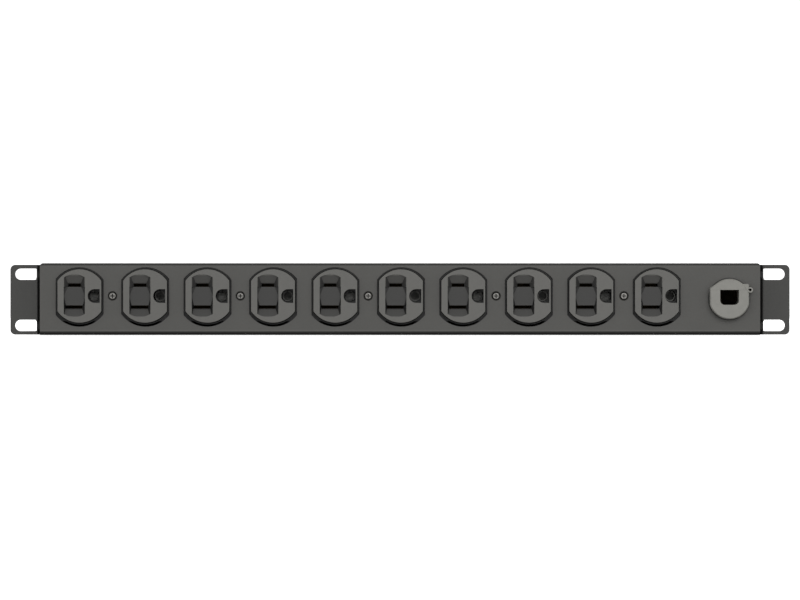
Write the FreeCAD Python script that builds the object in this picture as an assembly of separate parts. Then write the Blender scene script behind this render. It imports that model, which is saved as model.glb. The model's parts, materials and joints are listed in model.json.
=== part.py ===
import FreeCAD, Part
import os

# A one-unit rack power strip: a bent steel housing with five duplex receptacles behind its front
# panel, rack ears at both ends and a strain-relief bushing where the mains cord comes in.
# Millimetres. X runs along the strip, Y runs from the front panel (y = 0) to the rear, and Z is up
# from the underside. Each sub-part is saved with y measured from the middle of the whole depth.

V = FreeCAD.Vector

# Housing
EAR_TO_EAR = 482.6
HEIGHT = 44.45
BODY_HALF = 222.95
DEPTH = 44.45
SHEET = 1.5
COVER_SHEET = 1.2
BEND_OUTER = 2.4
BEND_INNER = 0.9
TOP_CORNER = 2.0
LIP = 9.0
LIP_END_GAP = 1.7
FLANGE_CLEARANCE = 0.5

# Rack ears
EAR_SHEET = 2.4
EAR_SETBACK = 2.0
EAR_BOTTOM = 0.225
EAR_TOP = 43.425
EAR_LEG_DEPTH = 38.0
EAR_CORNER = 3.0
EAR_BEND_OUTER = 2.8
EAR_BEND_INNER = 0.6
SLOT_RADIUS = 3.5
SLOT_LENGTH = 15.5
SLOT_CENTRE_X = 230.65
SLOT_CENTRE_Z = 21.74
SLOT_SPACING_Z = 31.75
SLOT_CUT_DEPTH = 4.0

# Receptacles
DUPLEX_COUNT = 5
FIRST_DUPLEX_X = -178.0
DUPLEX_PITCH = 79.15
OUTLET_OFFSET = 20.285
OUTLET_Z = 24.1
FACE_STANDOUT = 2.7
FACE_RADIUS = 16.45
FACE_HALF_WIDTH = 13.5
FACE_DRAFT = 0.65
SKIRT_FRONT = 0.4
SKIRT_RADIUS = 17.6
SKIRT_HALF_WIDTH = 14.6
PANEL_HOLE_RADIUS = 18.4
PANEL_HOLE_HALF_WIDTH = 14.8
PANEL_HOLE_OUTWARD = 0.2
PANEL_HOLE_DOWN = 0.6
MOULDING_HALF_X = 36.5
MOULDING_HALF_Z = 15.5
MOULDING_REAR = 5.0

# Well in each outlet face that holds the two blade slots
WELL_CENTRE_X = -3.15
WELL_HALF_WIDTH = 6.55
WELL_TOP = 13.4
WELL_BOTTOM = 13.0
WELL_ARCH_RADIUS = 12.0
WELL_DEPTH = 3.2
WELL_OVERLAP = 6.0
WELL_MARGIN = 0.6
ISLAND_DEPTH = 1.3
ISLAND_HALF_WIDTH = 6.7
ISLAND_TOP_HALF = 4.15
ISLAND_BOTTOM_HALF = 5.2
UPPER_POCKET_DEPTH = 2.3
HOT_Z = 6.65
HOT_X = (-7.1, 0.6)
NEUTRAL_Z = -6.8
NEUTRAL_X = (-8.7, 1.55)
BLADE_SLOT_HALF = 1.0
GROUND_X = (5.1, 12.55)
GROUND_HALF_HEIGHT = 4.25

# Yoke and receptacle base
YOKE_SHEET = 1.2
YOKE_HALF_X = 37.5
YOKE_HALF_Z = 12.5
WINDOW_X = (-9.5, 13.5)
WINDOW_HALF_Z = 9.3
BASE_FRONT = MOULDING_REAR + YOKE_SHEET
BASE_REAR = 24.0
BASE_HALF_Z = 14.5
BASE_CORNER = 1.5
POCKET_FLOOR = 20.2
RIVET_Z = 11.0
RIVET_RADIUS = 1.5
RIVET_HEAD_RADIUS = 2.5
RIVET_HEAD = 1.1

# Contacts
STRIP = 0.8
CONTACT_FRONT = 7.0
CONTACT_REAR = 20.0
BLADE_GAP_HALF = 0.85
CONTACT_END_INSET = 0.3
TRENCH_HALF = 1.9
GROUND_PIN_X = 8.8
GROUND_TUBE_INNER = 2.5
GROUND_TUBE_OUTER = 3.2
GROUND_TRENCH_HALF = 2.2
TONGUE_HALF_WIDTH = 2.4
GROUND_TUBE_FRONT = 10.0
BOND_TAB_X = 4.5

# Terminals: offset of each from its duplex centre, the height of its screw, and of its stem
HOT_TERMINAL = (-14.0, 10.3, HOT_Z)
NEUTRAL_TERMINAL = (14.0, -10.3, NEUTRAL_Z)
GROUND_TERMINAL = (0.0, 1.0, -1.2)
TERMINAL_HALF_X = 4.5
TERMINAL_REACH = 3.1
TERMINAL_SHEET = 1.0
STEM_HALF_X = 2.5
STEM_HALF_Z = 0.6
SCREW_SHANK = 1.4
TERMINAL_HEAD_RADIUS = 3.3
TERMINAL_HEAD = 1.8
TERMINAL_TIP = 21.5

# Wires and wire caps
CONDUCTOR_RADIUS = 1.0
INSULATION_RADIUS = 1.7
WIRE_OFFSET = 2.5
WIRE_Y = BASE_REAR + TERMINAL_SHEET + CONDUCTOR_RADIUS
BARE_HALF = 6.0
CAP_START = 176.0
CAP_LENGTH = 20.0
CAP_RADIUS = 4.2
CAP_TIP_RADIUS = 3.0
CAP_BORE = 2.2
CAP_BORE_DEPTH = 12.0

# Centre screws of the receptacles
DIMPLE_RADIUS = 3.1
DIMPLE_DEPTH = 1.3
SCREW_HOLE = 1.75
CENTRE_HEAD_RADIUS = 2.0
CENTRE_HEAD_STANDOUT = 0.45
CENTRE_HEAD_BACK = 0.95
CENTRE_SCREW_TIP = 12.0

# Strain-relief bushing
BUSHING_X = 203.7
BUSHING_Z = 22.225
BUSHING_HEAD = 5.0
BUSHING_RADIUS = 12.45
BUSHING_FLAT = 12.05
SHOULDER_Z = 6.7
SHOULDER_END = (-5.6, 11.2)
BUSHING_BARREL_RADIUS = 10.8
BUSHING_BARREL_FLAT = 10.2
BUSHING_TAIL = 13.0
BUSHING_SPLIT = 5.6
BUSHING_HOLE_RADIUS = 11.0
BUSHING_HOLE_FLAT = 10.4
CORD_HALF_WIDTH = 5.8
CORD_TOP = 5.6
CORD_BOTTOM = -3.6
CORD_CORNER = 2.8
HINGE_X = 12.8
HINGE_Z = 5.65
HINGE_RADIUS = 1.7
HINGE_HOLE = 0.85

# Cover and ear screws, liner and chassis ground
COVER_SCREW_X = (-190.0, -63.0, 63.0, 190.0)
COVER_SCREW_Z = (5.4, 39.05)
COVER_SCREW_TIP = 38.5
EAR_SCREW_Y = 22.0
EAR_SCREW_Z = (11.0, 33.0)
SCREW_HEAD_RADIUS = 2.9
SCREW_HEAD = 1.6
LINER = 0.4
LINER_HALF_X = 212.0
GROUND_STUD = (190.0, 32.0)
STUD_RADIUS = 2.0
STUD_TOP = 9.0

MIDDLE_Y = (DEPTH + SCREW_HEAD - BUSHING_HEAD) / 2


def box(x, y, z):
    """A block between the low and high value on each axis."""
    return Part.makeBox(x[1] - x[0], y[1] - y[0], z[1] - z[0], V(x[0], y[0], z[0]))


def post(x, z, radius, y):
    """A round bar along Y, from y[0] to y[1]."""
    return Part.makeCylinder(radius, y[1] - y[0], V(x, y[0], z), V(0, 1, 0))


def cone(x, z, radii, y):
    """A cone along Y with the first radius at y[0] and the second at y[1]."""
    return Part.makeCone(radii[0], radii[1], y[1] - y[0], V(x, y[0], z), V(0, 1, 0))


def bar(x, y, z, radius):
    """A round bar along X, from x[0] to x[1]."""
    return Part.makeCylinder(radius, x[1] - x[0], V(x[0], y, z), V(1, 0, 0))


def edges_along(shape, direction, keep=None):
    """The straight edges that run along a direction; keep can pick some by their middle point."""
    found = []
    for edge in shape.Edges:
        start = edge.Vertexes[0].Point
        end = edge.Vertexes[-1].Point
        run = end - start
        if run.Length < 1e-6 or run.cross(direction).Length > 1e-6:
            continue
        if keep is None or keep((start + end) * 0.5):
            found.append(edge)
    return found


def flatted_post(x, z, radius, half_width, y):
    """A round bar along Y with a flat on its left and right."""
    sides = box((x - half_width, x + half_width), y, (z - radius - 1, z + radius + 1))
    return post(x, z, radius, y).common(sides)


def together(shapes):
    """One solid from touching or overlapping shapes."""
    whole = shapes[0]
    for other in shapes[1:]:
        whole = whole.fuse(other)
    return whole.removeSplitter()


def group(shapes):
    """Separate solids that share one node."""
    return Part.makeCompound(shapes)


def save(name, shape):
    """Write one named sub-part, with y measured from the middle of the whole depth."""
    placed = shape.copy()
    placed.translate(V(0, -MIDDLE_Y, 0))
    placed.exportStep("parts/" + name + ".step")


def duplex_centres():
    """Where along X each duplex receptacle sits."""
    return [FIRST_DUPLEX_X + DUPLEX_PITCH * i for i in range(DUPLEX_COUNT)]


def cross_recess(x, z, y, half, half_width):
    """The two crossed bars that a screwdriver fits, cut into a head that faces -Y or +Y."""
    upright = box((x - half_width, x + half_width), y, (z - half, z + half))
    level = box((x - half, x + half), y, (z - half_width, z + half_width))
    return upright.fuse(level)


# ---------------------------------------------------------------- housing

def outlet_hole(x, outward):
    """The panel's opening for one outlet face, its arcs a little low and to the outside."""
    shift = PANEL_HOLE_OUTWARD if outward else -PANEL_HOLE_OUTWARD
    reach = (-1, SHEET + 1)
    arcs = post(x + shift, OUTLET_Z - PANEL_HOLE_DOWN, PANEL_HOLE_RADIUS, reach)
    sides = box((x - PANEL_HOLE_HALF_WIDTH, x + PANEL_HOLE_HALF_WIDTH), reach, (0, HEIGHT))
    return arcs.common(sides)


def housing():
    """Front panel, top, bottom and rear lips, bent from one sheet and open at both ends."""
    rear = DEPTH - COVER_SHEET
    along = V(1, 0, 0)
    outer = box((-BODY_HALF, BODY_HALF), (0, rear), (0, HEIGHT))
    outer = outer.makeFillet(BEND_OUTER, edges_along(outer, along))
    inner = box(
        (-BODY_HALF - 1, BODY_HALF + 1), (SHEET, rear - SHEET), (SHEET, HEIGHT - SHEET)
    )
    inner = inner.makeFillet(BEND_INNER, edges_along(inner, along))
    shell = outer.cut(inner)
    mouth = box(
        (-BODY_HALF - 1, BODY_HALF + 1), (rear - SHEET - 1, rear + 1), (LIP, HEIGHT - LIP)
    )
    shell = shell.cut(mouth)
    for side in (-1, 1):
        ends = sorted((side * (BODY_HALF - LIP_END_GAP), side * (BODY_HALF + 1)))
        notch = box(ends, (rear - BEND_OUTER, rear + 1), (SHEET, HEIGHT - SHEET))
        shell = shell.cut(notch)
    outline = box((-BODY_HALF, BODY_HALF), (-1, DEPTH), (-1, HEIGHT))
    top_corners = edges_along(outline, V(0, 1, 0), lambda middle: middle.z > HEIGHT / 2)
    shell = shell.common(outline.makeFillet(TOP_CORNER, top_corners))
    for centre in duplex_centres():
        shell = shell.cut(outlet_hole(centre - OUTLET_OFFSET, False))
        shell = shell.cut(outlet_hole(centre + OUTLET_OFFSET, True))
        shell = shell.cut(cone(centre, OUTLET_Z, (DIMPLE_RADIUS, SCREW_HOLE), (0, DIMPLE_DEPTH)))
        shell = shell.cut(post(centre, OUTLET_Z, SCREW_HOLE, (0, SHEET + 1)))
    bushing_hole = flatted_post(
        BUSHING_X, BUSHING_Z, BUSHING_HOLE_RADIUS, BUSHING_HOLE_FLAT, (-1, SHEET + 1)
    )
    shell = shell.cut(bushing_hole)
    for x in COVER_SCREW_X:
        for z in COVER_SCREW_Z:
            shell = shell.cut(post(x, z, SCREW_SHANK + 0.05, (rear - SHEET - 1, rear + 1)))
    stud_hole = Part.makeCylinder(STUD_RADIUS, SHEET + 2, V(*GROUND_STUD, -1), V(0, 0, 1))
    return shell.cut(stud_hole)


def rear_cover():
    """The plate that closes the rear, with an end flange bent forward inside each end."""
    front = SHEET + FLANGE_CLEARANCE
    floor = SHEET + FLANGE_CLEARANCE
    ceiling = HEIGHT - SHEET - FLANGE_CLEARANCE
    rear = DEPTH - COVER_SHEET
    plate = box((-BODY_HALF, BODY_HALF), (rear, DEPTH), (BEND_INNER, HEIGHT - BEND_INNER))
    pieces = [plate]
    for side in (-1, 1):
        ends = sorted((side * (BODY_HALF - COVER_SHEET), side * BODY_HALF))
        pieces.append(box(ends, (front, DEPTH), (floor, ceiling)))
    cover = together(pieces)
    for side in (-1, 1):
        bends = edges_along(
            cover,
            V(0, 0, 1),
            lambda m: abs(m.x - side * BODY_HALF) < 1e-3 and abs(m.y - DEPTH) < 1e-3,
        )
        cover = cover.makeFillet(1.0, bends)
    for x in COVER_SCREW_X:
        for z in COVER_SCREW_Z:
            cover = cover.cut(post(x, z, SCREW_SHANK + 0.2, (rear - 1, DEPTH + 1)))
    for z in EAR_SCREW_Z:
        hole = bar((-BODY_HALF - 1, BODY_HALF + 1), EAR_SCREW_Y, z, SCREW_SHANK + 0.05)
        cover = cover.cut(hole)
    return cover


def rear_liner():
    """The insulating sheet stuck to the inside of the rear cover, between the lips."""
    rear = DEPTH - COVER_SHEET
    gap = LIP + 0.6
    return box((-LINER_HALF_X, LINER_HALF_X), (rear - LINER, rear), (gap, HEIGHT - gap))


# ---------------------------------------------------------------- rack ears

def rack_slot(centre_z):
    """A long rack-screw slot that runs through the ear and into the bend behind it."""
    half = SLOT_LENGTH / 2 - SLOT_RADIUS
    depth = (EAR_SETBACK - 1, EAR_SETBACK + SLOT_CUT_DEPTH)
    straight = box(
        (SLOT_CENTRE_X - half, SLOT_CENTRE_X + half),
        depth,
        (centre_z - SLOT_RADIUS, centre_z + SLOT_RADIUS),
    )
    inner_end = post(SLOT_CENTRE_X - half, centre_z, SLOT_RADIUS, depth)
    outer_end = post(SLOT_CENTRE_X + half, centre_z, SLOT_RADIUS, depth)
    return together([straight, inner_end, outer_end])


def right_ear():
    """The bracket at the right end: a rack flange and a leg that closes the housing's end."""
    tip = EAR_TO_EAR / 2
    tall = (EAR_BOTTOM, EAR_TOP)
    flange = box((BODY_HALF, tip), (EAR_SETBACK, EAR_SETBACK + EAR_SHEET), tall)
    leg = box(
        (BODY_HALF, BODY_HALF + EAR_SHEET), (EAR_SETBACK, EAR_SETBACK + EAR_LEG_DEPTH), tall
    )
    ear = together([flange, leg])
    upright = V(0, 0, 1)
    outer_bend = edges_along(
        ear,
        upright,
        lambda m: abs(m.x - BODY_HALF) < 1e-3 and abs(m.y - EAR_SETBACK) < 1e-3,
    )
    ear = ear.makeFillet(EAR_BEND_OUTER, outer_bend)
    inner_bend = edges_along(
        ear,
        upright,
        lambda m: abs(m.x - BODY_HALF - EAR_SHEET) < 1e-3
        and abs(m.y - EAR_SETBACK - EAR_SHEET) < 1e-3,
    )
    ear = ear.makeFillet(EAR_BEND_INNER, inner_bend)
    corners = edges_along(ear, V(0, 1, 0), lambda m: m.x > tip - 0.01)
    ear = ear.makeFillet(EAR_CORNER, corners)
    for sign in (-1, 1):
        ear = ear.cut(rack_slot(SLOT_CENTRE_Z + sign * SLOT_SPACING_Z / 2))
    for z in EAR_SCREW_Z:
        hole = bar((BODY_HALF - 1, BODY_HALF + EAR_SHEET + 1), EAR_SCREW_Y, z, SCREW_SHANK + 0.2)
        ear = ear.cut(hole)
    return ear


def left_ear():
    """The same bracket for the left end."""
    return right_ear().mirror(V(0, 0, 0), V(1, 0, 0))


# ---------------------------------------------------------------- receptacles

def funnel(front_x, front_z, slot_x, slot_z):
    """A four-sided funnel from the front of a face down to one blade slot."""
    outlines = []
    ends = ((-FACE_STANDOUT, front_x, front_z), (-FACE_STANDOUT + WELL_DEPTH, slot_x, slot_z))
    for y, across, up in ends:
        corners = [V(across[i], y, up[j]) for i, j in ((0, 0), (1, 0), (1, 1), (0, 1), (0, 0))]
        outlines.append(Part.makePolygon(corners))
    return Part.makeLoft(outlines, True, True)


def face_well(x):
    """The sunken well: a funnel to each blade slot, and between them an island with pockets."""
    centre = x + WELL_CENTRE_X
    front = -FACE_STANDOUT
    reach = (front, front + WELL_DEPTH)
    sides = (centre - WELL_HALF_WIDTH, centre + WELL_HALF_WIDTH)
    outline = box(sides, reach, (OUTLET_Z - WELL_BOTTOM, OUTLET_Z + WELL_TOP))
    for sign, end in ((-1, WELL_BOTTOM), (1, WELL_TOP)):
        arch_z = OUTLET_Z + sign * (end - WELL_ARCH_RADIUS)
        straight = box(sides, reach, sorted((arch_z, OUTLET_Z - sign * 14)))
        arch = post(centre, arch_z, WELL_ARCH_RADIUS, reach).fuse(straight)
        outline = outline.common(arch)
    hot = funnel(
        sides,
        (OUTLET_Z - WELL_OVERLAP, OUTLET_Z + WELL_TOP + WELL_MARGIN),
        (x + HOT_X[0], x + HOT_X[1]),
        (OUTLET_Z + HOT_Z - BLADE_SLOT_HALF, OUTLET_Z + HOT_Z + BLADE_SLOT_HALF),
    )
    neutral = funnel(
        sides,
        (OUTLET_Z - WELL_BOTTOM - WELL_MARGIN, OUTLET_Z + WELL_OVERLAP),
        (x + NEUTRAL_X[0], x + NEUTRAL_X[1]),
        (OUTLET_Z + NEUTRAL_Z - BLADE_SLOT_HALF, OUTLET_Z + NEUTRAL_Z + BLADE_SLOT_HALF),
    )
    lower_pocket = box(
        sides, reach, (OUTLET_Z + NEUTRAL_Z + BLADE_SLOT_HALF, OUTLET_Z)
    )
    upper_pocket = box(
        sides, (front, front + UPPER_POCKET_DEPTH), (OUTLET_Z, OUTLET_Z + HOT_Z - BLADE_SLOT_HALF)
    )
    hollow = hot.fuse(neutral).fuse(lower_pocket).fuse(upper_pocket)
    return outline.common(hollow).cut(face_island(x))


def face_island(x):
    """The six-sided island between the two blade slots, narrower at its upper end."""
    centre = x + WELL_CENTRE_X
    front = -FACE_STANDOUT + ISLAND_DEPTH
    upper = OUTLET_Z + HOT_Z - BLADE_SLOT_HALF
    lower = OUTLET_Z + NEUTRAL_Z + BLADE_SLOT_HALF
    corners = [
        V(centre - ISLAND_TOP_HALF, front, upper),
        V(centre + ISLAND_TOP_HALF, front, upper),
        V(centre + ISLAND_HALF_WIDTH, front, OUTLET_Z),
        V(centre + ISLAND_BOTTOM_HALF, front, lower),
        V(centre - ISLAND_BOTTOM_HALF, front, lower),
        V(centre - ISLAND_HALF_WIDTH, front, OUTLET_Z),
    ]
    outline = Part.Face(Part.makePolygon(corners + [corners[0]]))
    return outline.extrude(V(0, WELL_DEPTH - ISLAND_DEPTH + 1, 0))


def blade_slot(x, span, height):
    """A blade slot through the face, from low to high x about the outlet's centre."""
    z = OUTLET_Z + height
    return box(
        (x + span[0], x + span[1]),
        (-FACE_STANDOUT - 1, MOULDING_REAR + 1),
        (z - BLADE_SLOT_HALF, z + BLADE_SLOT_HALF),
    )


def ground_hole(x):
    """The D-shaped hole for the ground pin, round on the left and flat on the right."""
    reach = (-FACE_STANDOUT - 1, MOULDING_REAR + 1)
    middle = x + GROUND_X[0] + GROUND_HALF_HEIGHT
    height = (OUTLET_Z - GROUND_HALF_HEIGHT, OUTLET_Z + GROUND_HALF_HEIGHT)
    round_side = post(middle, OUTLET_Z, GROUND_HALF_HEIGHT, reach)
    round_side = round_side.common(box((x + GROUND_X[0] - 1, middle), reach, height))
    return together([round_side, box((middle, x + GROUND_X[1]), reach, height)])


def outlet_boss(x):
    """One outlet face, standing out through the panel: drafted sides and a sunken skirt."""
    front = -FACE_STANDOUT
    foot = FACE_HALF_WIDTH + FACE_DRAFT
    arcs = cone(x, OUTLET_Z, (FACE_RADIUS, FACE_RADIUS + FACE_DRAFT), (front, SKIRT_FRONT))
    corners = [
        V(x - FACE_HALF_WIDTH, front, 0),
        V(x + FACE_HALF_WIDTH, front, 0),
        V(x + foot, SKIRT_FRONT, 0),
        V(x - foot, SKIRT_FRONT, 0),
    ]
    sides = Part.Face(Part.makePolygon(corners + [corners[0]])).extrude(V(0, 0, HEIGHT))
    skirt = flatted_post(
        x, OUTLET_Z, SKIRT_RADIUS, SKIRT_HALF_WIDTH, (SKIRT_FRONT, MOULDING_REAR)
    )
    return together([arcs.common(sides), skirt])


def receptacle_face(centre):
    """The front moulding of a duplex receptacle: two outlet faces on one plate."""
    plate = box(
        (centre - MOULDING_HALF_X, centre + MOULDING_HALF_X),
        (SHEET, MOULDING_REAR),
        (OUTLET_Z - MOULDING_HALF_Z, OUTLET_Z + MOULDING_HALF_Z),
    )
    outlets = (centre - OUTLET_OFFSET, centre + OUTLET_OFFSET)
    face = together([plate] + [outlet_boss(x) for x in outlets])
    for x in outlets:
        face = face.cut(face_well(x))
        face = face.cut(blade_slot(x, HOT_X, HOT_Z))
        face = face.cut(blade_slot(x, NEUTRAL_X, NEUTRAL_Z))
        face = face.cut(ground_hole(x))
    face = face.cut(post(centre, OUTLET_Z, SCREW_SHANK + 0.4, (0, MOULDING_REAR + 1)))
    for sign in (-1, 1):
        z = OUTLET_Z + sign * RIVET_Z
        face = face.cut(post(centre, z, RIVET_RADIUS + 0.05, (0, MOULDING_REAR + 1)))
        face = face.cut(post(centre, z, RIVET_HEAD_RADIUS + 0.1, (0, SHEET + RIVET_HEAD)))
    return face


def receptacle_yoke(centre):
    """The steel strap between face and base, threaded for the centre screw."""
    reach = (MOULDING_REAR, BASE_FRONT)
    yoke = box(
        (centre - YOKE_HALF_X, centre + YOKE_HALF_X),
        reach,
        (OUTLET_Z - YOKE_HALF_Z, OUTLET_Z + YOKE_HALF_Z),
    )
    corners = edges_along(yoke, V(0, 1, 0))
    yoke = yoke.makeFillet(3.0, corners)
    through = (MOULDING_REAR - 1, BASE_FRONT + 1)
    for x in (centre - OUTLET_OFFSET, centre + OUTLET_OFFSET):
        window = box(
            (x + WINDOW_X[0], x + WINDOW_X[1]),
            through,
            (OUTLET_Z - WINDOW_HALF_Z, OUTLET_Z + WINDOW_HALF_Z),
        )
        yoke = yoke.cut(window)
    yoke = yoke.cut(post(centre, OUTLET_Z, SCREW_SHANK + 0.05, through))
    for sign in (-1, 1):
        z = OUTLET_Z + sign * RIVET_Z
        yoke = yoke.cut(post(centre, z, RIVET_RADIUS + 0.05, through))
    return yoke


def trench(centre, low, high, height, half):
    """A pocket in the base for a contact strip, open to the front."""
    z = OUTLET_Z + height
    return box(
        (centre + low, centre + high), (BASE_FRONT - 1, POCKET_FLOOR), (z - half, z + half)
    )


def stem_slot(centre, terminal):
    """The way through the base's rear wall for one terminal stem, and the screw's blind hole."""
    x = centre + terminal[0]
    stem_z = OUTLET_Z + terminal[2]
    slot = box(
        (x - STEM_HALF_X - 0.2, x + STEM_HALF_X + 0.2),
        (POCKET_FLOOR - 1, BASE_REAR + 1),
        (stem_z - STEM_HALF_Z - 0.2, stem_z + STEM_HALF_Z + 0.2),
    )
    tip = post(
        x, OUTLET_Z + terminal[1], SCREW_SHANK + 0.2, (TERMINAL_TIP - 0.5, BASE_REAR + 1)
    )
    return slot.fuse(tip)


def receptacle_base(centre):
    """The dark rear moulding that holds the contacts in their pockets."""
    base = box(
        (centre - MOULDING_HALF_X, centre + MOULDING_HALF_X),
        (BASE_FRONT, BASE_REAR),
        (OUTLET_Z - BASE_HALF_Z, OUTLET_Z + BASE_HALF_Z),
    )
    base = base.makeFillet(BASE_CORNER, edges_along(base, V(0, 1, 0)))
    left = -OUTLET_OFFSET
    right = OUTLET_OFFSET
    base = base.cut(trench(centre, left + HOT_X[0], right + HOT_X[1], HOT_Z, TRENCH_HALF))
    base = base.cut(
        trench(centre, left + NEUTRAL_X[0], right + NEUTRAL_X[1], NEUTRAL_Z, TRENCH_HALF)
    )
    base = base.cut(
        trench(centre, left + GROUND_PIN_X, right + GROUND_PIN_X, 0, GROUND_TRENCH_HALF)
    )
    for x in (left, right):
        well = post(
            centre + x + GROUND_PIN_X,
            OUTLET_Z,
            GROUND_TUBE_OUTER + 0.3,
            (BASE_FRONT - 1, POCKET_FLOOR),
        )
        base = base.cut(well)
    for terminal in (HOT_TERMINAL, NEUTRAL_TERMINAL, GROUND_TERMINAL):
        base = base.cut(stem_slot(centre, terminal))
    for sign in (-1, 1):
        z = OUTLET_Z + sign * RIVET_Z
        base = base.cut(post(centre, z, RIVET_RADIUS + 0.05, (0, BASE_REAR + 1)))
        head = (BASE_REAR - RIVET_HEAD, BASE_REAR + 1)
        base = base.cut(post(centre, z, RIVET_HEAD_RADIUS + 0.1, head))
    return base


def terminal_tab(centre, terminal):
    """A stem out of the base's rear and the plate that a wire is screwed to."""
    x = centre + terminal[0]
    screw_z = OUTLET_Z + terminal[1]
    stem_z = OUTLET_Z + terminal[2]
    stem = box(
        (x - STEM_HALF_X, x + STEM_HALF_X),
        (CONTACT_REAR - STRIP, BASE_REAR + TERMINAL_SHEET),
        (stem_z - STEM_HALF_Z, stem_z + STEM_HALF_Z),
    )
    low = min(screw_z - TERMINAL_REACH, stem_z - STEM_HALF_Z)
    high = max(screw_z + TERMINAL_REACH, stem_z + STEM_HALF_Z)
    plate = box(
        (x - TERMINAL_HALF_X, x + TERMINAL_HALF_X),
        (BASE_REAR, BASE_REAR + TERMINAL_SHEET),
        (low, high),
    )
    hole = post(x, screw_z, SCREW_SHANK + 0.05, (BASE_REAR - 1, BASE_REAR + 2))
    return [stem, plate.cut(hole)]


def blade_contacts(centre, span, height, terminal):
    """A brass strip with a folded pair of leaves for each outlet's blade, and its terminal."""
    z = OUTLET_Z + height
    pieces = []
    for x in (centre - OUTLET_OFFSET, centre + OUTLET_OFFSET):
        ends = (x + span[0] + CONTACT_END_INSET, x + span[1] - CONTACT_END_INSET)
        outside = BLADE_GAP_HALF + STRIP
        clip = box(ends, (CONTACT_FRONT, CONTACT_REAR), (z - outside, z + outside))
        gap = box(
            ends,
            (CONTACT_FRONT, CONTACT_REAR - STRIP),
            (z - BLADE_GAP_HALF, z + BLADE_GAP_HALF),
        )
        pieces.append(clip.cut(gap))
    link = box(
        (centre - OUTLET_OFFSET, centre + OUTLET_OFFSET + span[0] + 1),
        (CONTACT_REAR - STRIP, CONTACT_REAR),
        (z - BLADE_GAP_HALF - STRIP, z + BLADE_GAP_HALF + STRIP),
    )
    return together([link] + pieces + terminal_tab(centre, terminal))


def spring_tongue(pin_x):
    """The sprung strip in front of the left outlet's ground tube, which the pin pushes down."""
    side = [(10.6, -3.2), (6.1, -3.2), (9.4, 2.3), (9.85, 1.9), (7.1, -2.6), (10.6, -2.6)]
    corners = [V(pin_x - TONGUE_HALF_WIDTH, y, OUTLET_Z + z) for y, z in side]
    strip = Part.Face(Part.makePolygon(corners + [corners[0]])).extrude(
        V(2 * TONGUE_HALF_WIDTH, 0, 0)
    )
    return strip.common(post(pin_x, OUTLET_Z, GROUND_TUBE_OUTER, (5.0, CONTACT_REAR)))


def ground_contacts(centre):
    """The ground strip: a split tube for each ground pin, a tab to the yoke, and its terminal."""
    pieces = [spring_tongue(centre - OUTLET_OFFSET + GROUND_PIN_X)]
    for x in (centre - OUTLET_OFFSET, centre + OUTLET_OFFSET):
        pin_x = x + GROUND_PIN_X
        hollow = (GROUND_TUBE_FRONT, CONTACT_REAR - STRIP)
        tube = post(pin_x, OUTLET_Z, GROUND_TUBE_OUTER, (GROUND_TUBE_FRONT, CONTACT_REAR))
        tube = tube.cut(post(pin_x, OUTLET_Z, GROUND_TUBE_INNER, hollow))
        split = box(
            (pin_x - 0.4, pin_x + 0.4), hollow, (OUTLET_Z, OUTLET_Z + GROUND_TUBE_OUTER + 1)
        )
        pieces.append(tube.cut(split))
    height = (OUTLET_Z - TRENCH_HALF, OUTLET_Z + TRENCH_HALF)
    link = box(
        (centre - OUTLET_OFFSET + GROUND_PIN_X, centre + OUTLET_OFFSET + GROUND_PIN_X),
        (CONTACT_REAR - STRIP, CONTACT_REAR),
        height,
    )
    bond = box(
        (centre + BOND_TAB_X, centre + BOND_TAB_X + STRIP), (BASE_FRONT, CONTACT_REAR), height
    )
    return together([link, bond] + pieces + terminal_tab(centre, GROUND_TERMINAL))


def rivets():
    """Two long rivets hold each receptacle's face, yoke and base together."""
    solids = []
    for centre in duplex_centres():
        for sign in (-1, 1):
            z = OUTLET_Z + sign * RIVET_Z
            shank = post(centre, z, RIVET_RADIUS, (SHEET, BASE_REAR))
            front = post(centre, z, RIVET_HEAD_RADIUS, (SHEET, SHEET + RIVET_HEAD))
            rear = post(centre, z, RIVET_HEAD_RADIUS, (BASE_REAR - RIVET_HEAD, BASE_REAR))
            solids.append(together([shank, front, rear]))
    return group(solids)


def centre_screws():
    """The cross-head screw at the middle of each receptacle, sunk in the panel's dimple."""
    solids = []
    for x in duplex_centres():
        button = post(x, OUTLET_Z, CENTRE_HEAD_RADIUS, (-CENTRE_HEAD_STANDOUT, CENTRE_HEAD_BACK))
        rim = [e for e in button.Edges if e.BoundBox.YMax < -CENTRE_HEAD_STANDOUT + 0.01]
        button = button.makeFillet(0.35, rim)
        radii = (CENTRE_HEAD_RADIUS, SCREW_HOLE - 0.05)
        seat = cone(x, OUTLET_Z, radii, (CENTRE_HEAD_BACK, DIMPLE_DEPTH))
        shank = post(x, OUTLET_Z, SCREW_SHANK, (1.0, CENTRE_SCREW_TIP))
        point = [e for e in shank.Edges if e.BoundBox.YMin > CENTRE_SCREW_TIP - 0.01]
        shank = shank.makeChamfer(0.5, point)
        screw = together([seat, button, shank])
        solids.append(screw.cut(cross_recess(x, OUTLET_Z, (-1, 0.5), 1.4, 0.3)))
    return group(solids)


def terminal_screws(terminal):
    """The slotted screw that clamps the wire at one terminal of every receptacle."""
    under = WIRE_Y + CONDUCTOR_RADIUS
    solids = []
    for centre in duplex_centres():
        x = centre + terminal[0]
        z = OUTLET_Z + terminal[1]
        head = post(x, z, TERMINAL_HEAD_RADIUS, (under, under + TERMINAL_HEAD))
        rim = [e for e in head.Edges if e.BoundBox.YMin > under + TERMINAL_HEAD - 0.01]
        head = head.makeFillet(0.5, rim)
        shank = post(x, z, SCREW_SHANK, (TERMINAL_TIP, under))
        slot = box((x - 4, x + 4), (under + TERMINAL_HEAD - 0.9, under + 3), (z - 0.5, z + 0.5))
        solids.append(together([head, shank]).cut(slot))
    return group(solids)


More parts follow.
